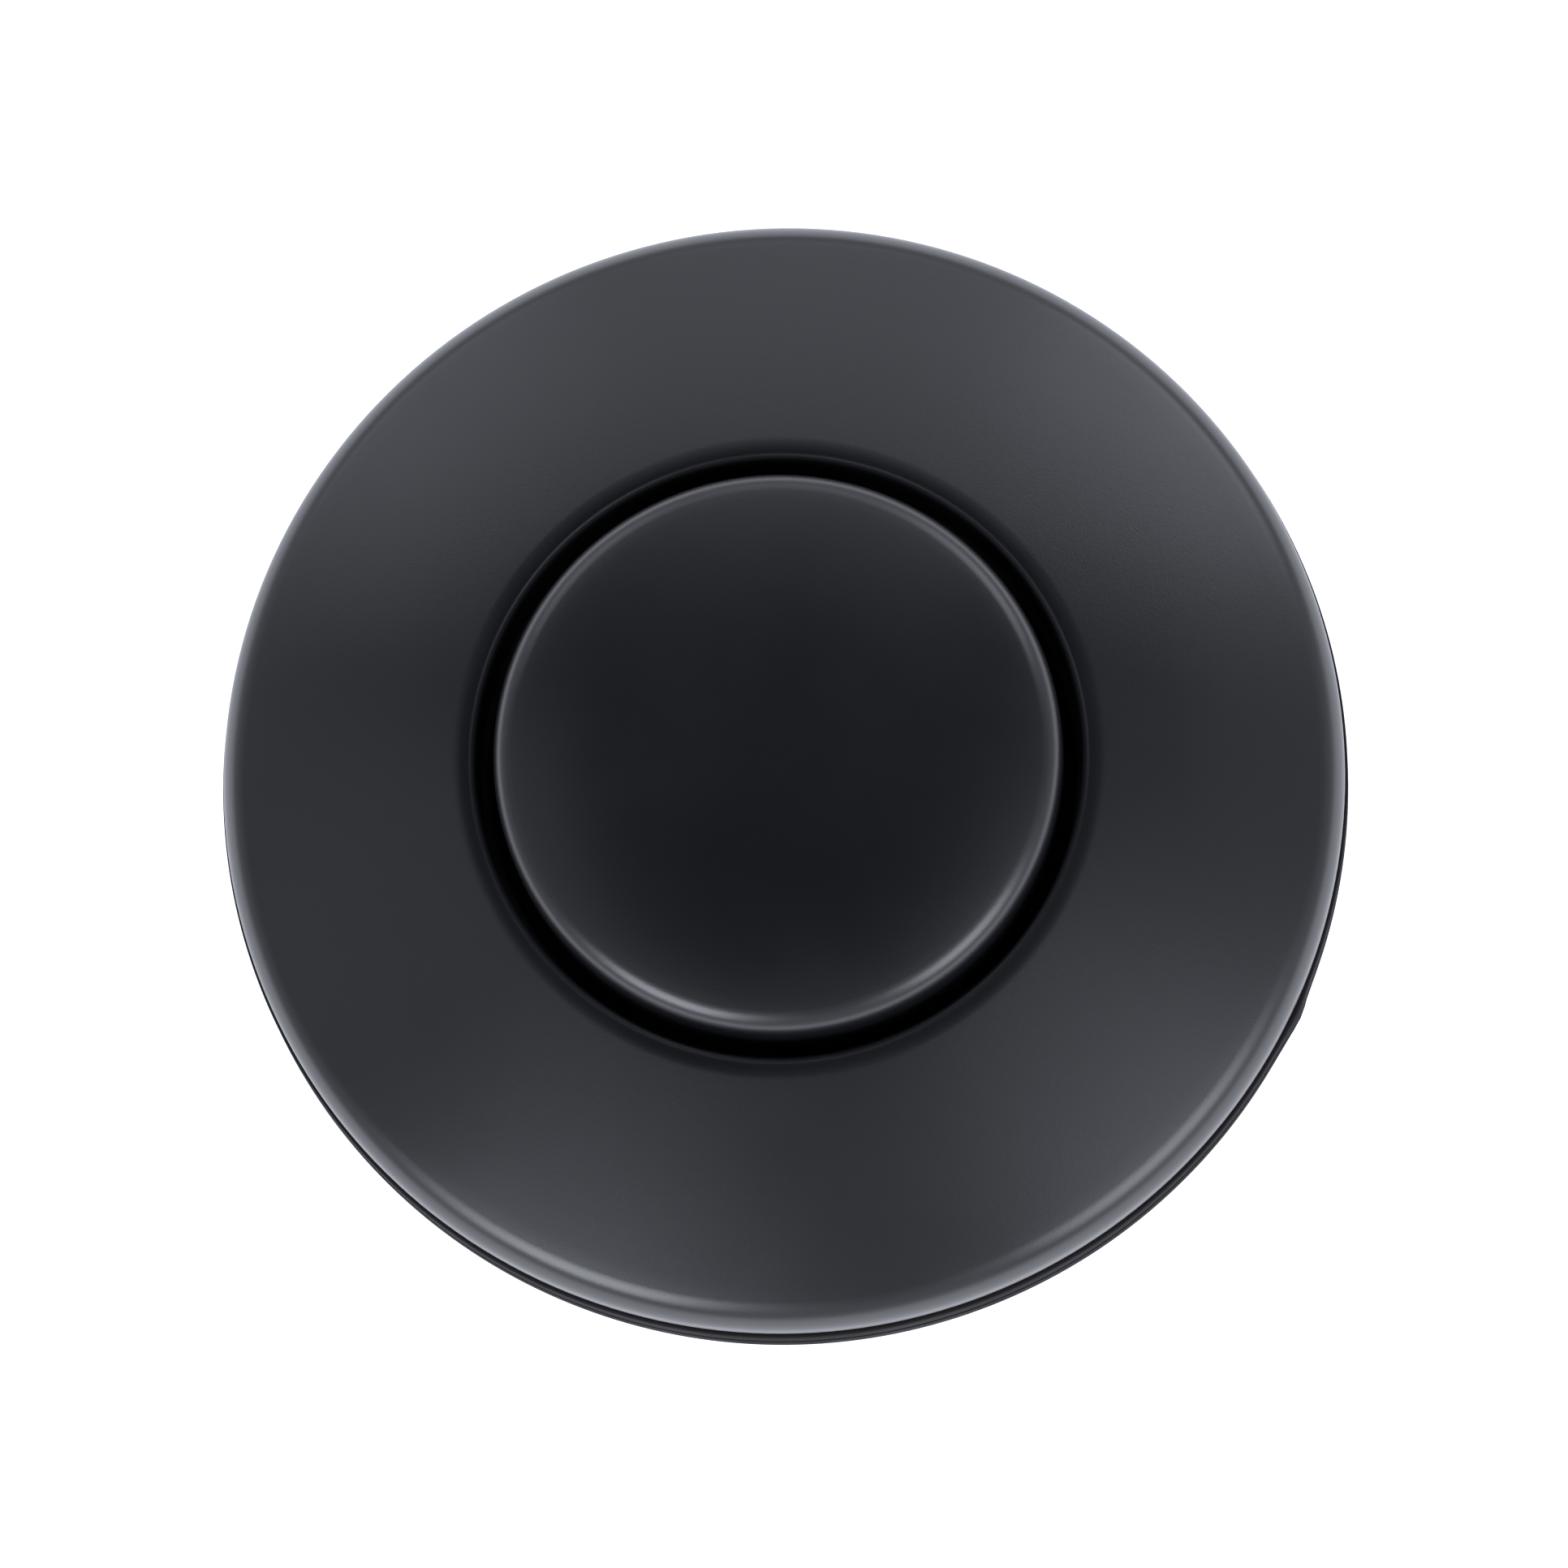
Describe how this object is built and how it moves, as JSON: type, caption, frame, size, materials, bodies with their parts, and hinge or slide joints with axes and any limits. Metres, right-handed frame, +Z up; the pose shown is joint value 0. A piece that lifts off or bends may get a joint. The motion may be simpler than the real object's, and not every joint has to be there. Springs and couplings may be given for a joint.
{
  "type": "air switch push button",
  "caption": "Sink-top air switch for a garbage disposal: a crowned button in a domed flange, over a threaded shank with a spring, an air bellows, a clamp nut and a hose barb.",
  "frame": {"origin": "on the button's axis, in the plane of the countertop that the flange's gasket rests on", "axes": "+Z points up out of the counter along the button's axis; +X is towards the side from which the gasket's tab is 25 degrees clockwise, seen from above"},
  "size_m": [0.055, 0.055, 0.0728],
  "materials": {
    "matte_black_metal": "matte black coat with a fine satin sheen",
    "black_rubber": "matte black moulded rubber",
    "bellows_rubber": "dark grey soft moulded rubber",
    "black_plastic": "black moulded ABS, lightly textured",
    "white_acetal": "natural white acetal, smooth",
    "steel": "bright stainless or plated steel",
    "brass": "turned brass"
  },
  "bodies": {
    "housing": {"escutcheon": "matte_black_metal", "collar_o_ring": "black_rubber", "counter_gasket": "black_rubber", "switch_body": "black_plastic", "lower_spring_washer": "steel", "return_spring": "steel", "wiper_seal": "black_rubber", "guide_bush": "white_acetal", "bellows": "bellows_rubber", "base_cap": "black_plastic", "base_screw_1": "steel", "base_screw_2": "steel", "base_screw_3": "steel", "hose_barb": "brass", "barb_o_ring": "black_rubber"},
    "button": {"button_cap": "matte_black_metal", "plunger": "white_acetal", "cap_screw": "steel", "upper_spring_washer": "steel", "retaining_clip": "steel", "push_pad": "black_rubber"},
    "clamp_washers": {"clamp_gasket": "black_rubber", "slip_washer": "steel"},
    "nut": {"mounting_nut": "black_plastic"}
  },
  "joints": [
    {"name": "button_press", "type": "slide", "parent": "housing", "child": "button", "axis": [0, 0, -1], "range_m": [0, 0.005], "stiffness_N_per_m": 700, "springref_m": -0.004, "deforming": ["return_spring", "bellows"]},
    {"name": "washer_travel", "type": "slide", "parent": "housing", "child": "clamp_washers", "axis": [0, 0, 1], "range_m": [-0.0076, 0.0181]},
    {"name": "nut_turn", "type": "hinge", "parent": "clamp_washers", "child": "nut", "pos_m": [0, 0, 0], "axis": [0, 0, 1], "range_deg": [-1080, 2592]}
  ],
  "couplings": [
    {"joint": "washer_travel", "follows": "nut_turn", "m_per_rad": 0.00039789}
  ]
}
